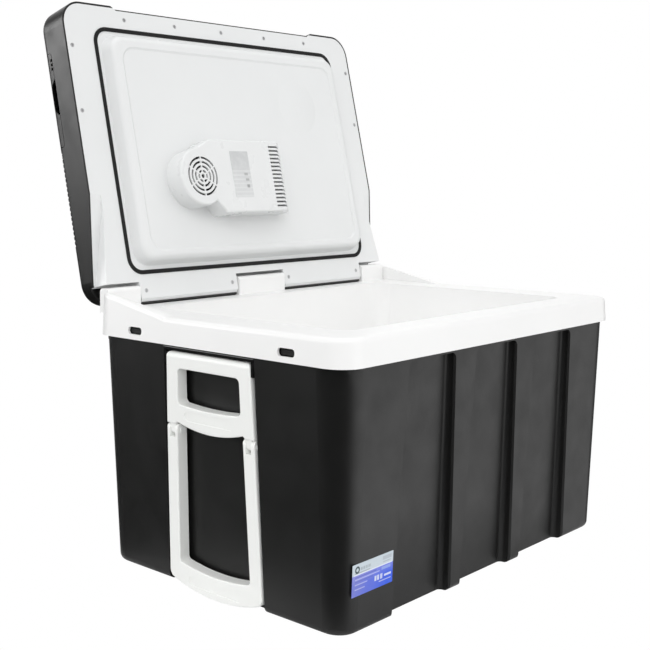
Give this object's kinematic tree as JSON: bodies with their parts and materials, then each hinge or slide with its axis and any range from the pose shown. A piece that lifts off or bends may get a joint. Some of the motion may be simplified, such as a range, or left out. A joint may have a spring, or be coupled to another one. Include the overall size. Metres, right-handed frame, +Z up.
{
  "type": "thermoelectric cool box",
  "caption": "Trolley cool box with ribbed tub, insulated lid that holds the cooler unit, fold-out pull handle and wheels; lid shown open.",
  "frame": {"origin": "ground under the middle of the tub, on the plane of the foot ring", "axes": "+X along the box away from the pull handle, +Y to the lid hinge at the back, +Z up"},
  "size_m": [0.591, 0.5282, 0.7306],
  "materials": {
    "tub_black": "satin, finely grained moulded polypropylene",
    "liner_white": "smooth satin-gloss moulding",
    "foam": "cut polyurethane foam",
    "steel": "drawn rod",
    "screw_steel": "zinc plated",
    "label_print": "printed film",
    "foot_plastic": "moulded",
    "bracket_black": "glossy moulding",
    "hub_grey": "moulded",
    "tyre": "solid rubber",
    "handle_white": "satin moulding",
    "pin_white": "moulded pin",
    "lid_black": "satin, finely grained",
    "lid_white": "satin moulding",
    "gasket": "soft seal",
    "shroud_white": "satin moulding",
    "label_grey": "printed film",
    "fan_black": "moulded",
    "sink_aluminium": "extruded",
    "block_aluminium": "sawn",
    "ceramic": "fired ceramic faces",
    "grille_black": "moulded",
    "board": "solder-masked board",
    "bay_black": "moulded",
    "inlet_black": "moulded",
    "door_black": "satin, finely grained",
    "rocker_red": "moulded"
  },
  "bodies": {
    "tub": {"outer_shell": "tub_black", "inner_liner": "liner_white", "foam_insulation": "foam", "hinge_rod_left": "steel", "hinge_rod_right": "steel", "rating_label": "label_print", "foot_ring": "foot_plastic", "foot_screws": "screw_steel", "axle_mounts": "foot_plastic", "axle_pins": "steel", "handle_bracket": "bracket_black", "handle_rod": "steel"},
    "front_wheel": {"wheel_front": "hub_grey", "tyre_front": "tyre"},
    "back_wheel": {"wheel_back": "hub_grey", "tyre_back": "tyre"},
    "handle_frame": {"handle_upper": "handle_white", "handle_pins": "pin_white"},
    "handle_loop": {"handle_lower": "handle_white"},
    "lid": {"lid_shell": "lid_black", "lid_panel": "lid_white", "lid_foam": "foam", "lid_gasket": "gasket", "lid_screws": "screw_steel", "fan_shroud": "shroud_white", "shroud_label": "label_grey", "inner_fan_frame": "fan_black", "inner_fan_screws": "screw_steel", "cold_sink": "sink_aluminium", "spacer_block": "block_aluminium", "peltier_module": "ceramic", "hot_sink": "sink_aluminium", "outer_fan_frame": "fan_black", "outer_fan_screws": "screw_steel", "vent_cover": "grille_black", "control_board": "board", "cable_bay": "bay_black", "door_pin": "steel", "mains_inlet": "inlet_black", "dc_inlet": "inlet_black", "mode_switch_frame": "inlet_black"},
    "inner_fan": {"inner_fan_rotor": "fan_black"},
    "outer_fan": {"outer_fan_rotor": "fan_black"},
    "bay_door": {"cable_door": "door_black"},
    "mode_rocker": {"mode_switch_rocker": "rocker_red"}
  },
  "joints": [
    {"name": "lid_hinge", "type": "hinge", "parent": "tub", "child": "lid", "pos_m": [0, 0.1954, 0.3442], "axis": [1, 0, 0], "range_deg": [0, 102.8]},
    {"name": "handle_pivot", "type": "hinge", "parent": "tub", "child": "handle_frame", "pos_m": [-0.28539, 0, 0.289], "axis": [0, 1, 0], "range_deg": [0, 90]},
    {"name": "handle_knee", "type": "hinge", "parent": "handle_frame", "child": "handle_loop", "pos_m": [-0.28155, 0, 0.20108], "axis": [0, 1, 0], "range_deg": [0, 90]},
    {"name": "front_wheel_spin", "type": "hinge", "parent": "tub", "child": "front_wheel", "pos_m": [0.256, -0.14, 0.022], "axis": [0, 1, 0], "continuous": true},
    {"name": "back_wheel_spin", "type": "hinge", "parent": "tub", "child": "back_wheel", "pos_m": [0.256, 0.14, 0.022], "axis": [0, 1, 0], "continuous": true},
    {"name": "inner_fan_spin", "type": "hinge", "parent": "lid", "child": "inner_fan", "pos_m": [-0.127, 0.18757, 0.50021], "axis": [0, 0.9751, -0.2215], "continuous": true},
    {"name": "outer_fan_spin", "type": "hinge", "parent": "lid", "child": "outer_fan", "pos_m": [-0.127, 0.25583, 0.4847], "axis": [0, 0.9751, -0.2215], "continuous": true},
    {"name": "cable_door_hinge", "type": "hinge", "parent": "lid", "child": "bay_door", "pos_m": [-0.2109, 0.29412, 0.59906], "axis": [0, -0.2215, -0.9751], "range_deg": [0, 90]},
    {"name": "mode_switch", "type": "hinge", "parent": "lid", "child": "mode_rocker", "pos_m": [-0.213, 0.28184, 0.6398], "axis": [0, 0.9751, -0.2215], "range_deg": [-8, 8]}
  ]
}
